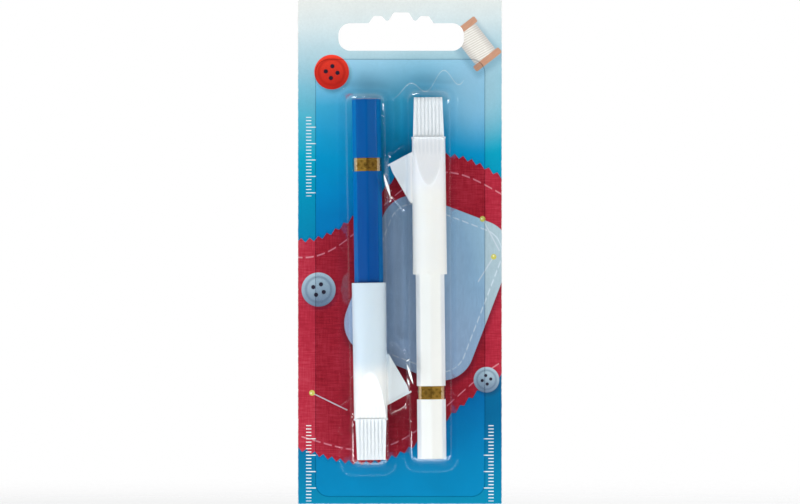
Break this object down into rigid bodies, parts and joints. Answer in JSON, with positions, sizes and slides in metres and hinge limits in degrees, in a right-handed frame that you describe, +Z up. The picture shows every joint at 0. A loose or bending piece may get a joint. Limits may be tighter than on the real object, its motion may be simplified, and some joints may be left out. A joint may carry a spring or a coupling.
{
  "type": "chalk pencil pack",
  "caption": "Upright hang-card with a clear blister holding two antiparallel chalk pencils for marking cloth, each with a finned push-on brush cap.",
  "frame": {"origin": "where a shop peg carries the pack: middle of the hang hole's highest edge, half way through the card", "axes": "+Z up along the card, -Y out of its printed face towards the viewer, +X to the viewer's right"},
  "size_m": [0.0622, 0.0118, 0.1537],
  "materials": {
    "card": "printed and gloss-varnished carton, plain grey-white back",
    "clear_sheet": "clear thermoformed sheet",
    "cedar": "fine-grained pencil wood, bare where sharpened or sawn",
    "blue_chalk": "matt pressed chalk",
    "white_chalk": "matt pressed chalk",
    "blue_lacquer": "glossy lacquer",
    "white_lacquer": "glossy lacquer",
    "gold_foil": "stamped gold foil",
    "white_plastic": "satin translucent polypropylene",
    "bristle_plastic": "satin polypropylene bristles"
  },
  "bodies": {
    "card": {"backing_card": "card"},
    "blister": {"blister_shell": "clear_sheet"},
    "blue_pencil": {"blue_casing_front": "cedar", "blue_casing_back": "cedar", "blue_chalk_core": "blue_chalk", "blue_lacquer_coat": "blue_lacquer", "blue_gold_band": "gold_foil"},
    "white_pencil": {"white_casing_front": "cedar", "white_casing_back": "cedar", "white_chalk_core": "white_chalk", "white_lacquer_coat": "white_lacquer", "white_gold_band": "gold_foil"},
    "blue_cap": {"blue_cap_body": "white_plastic", "blue_brush_insert": "bristle_plastic"},
    "white_cap": {"white_cap_body": "white_plastic", "white_brush_insert": "bristle_plastic"}
  },
  "joints": [
    {"name": "blister_lift", "type": "slide", "parent": "card", "child": "blister", "axis": [0, -1, 0], "range_m": [0, 0.13]},
    {"name": "blue_pencil_lift", "type": "slide", "parent": "card", "child": "blue_pencil", "axis": [0, -1, 0], "range_m": [0, 0.04]},
    {"name": "white_pencil_lift", "type": "slide", "parent": "card", "child": "white_pencil", "axis": [0, -1, 0], "range_m": [0, 0.04]},
    {"name": "blue_cap_pull", "type": "slide", "parent": "blue_pencil", "child": "blue_cap", "axis": [0.0145, 0, -0.9999], "range_m": [0, 0.033]},
    {"name": "white_cap_pull", "type": "slide", "parent": "white_pencil", "child": "white_cap", "axis": [-0.0109, 0, 0.9999], "range_m": [0, 0.033]}
  ],
  "couplings": [
    {"joint": "blue_pencil_lift", "follows": "blister_lift", "ratio": 0.3},
    {"joint": "white_pencil_lift", "follows": "blister_lift", "ratio": 0.3},
    {"joint": "blue_cap_pull", "follows": "blister_lift", "ratio": 0.25},
    {"joint": "white_cap_pull", "follows": "blister_lift", "ratio": 0.25}
  ]
}
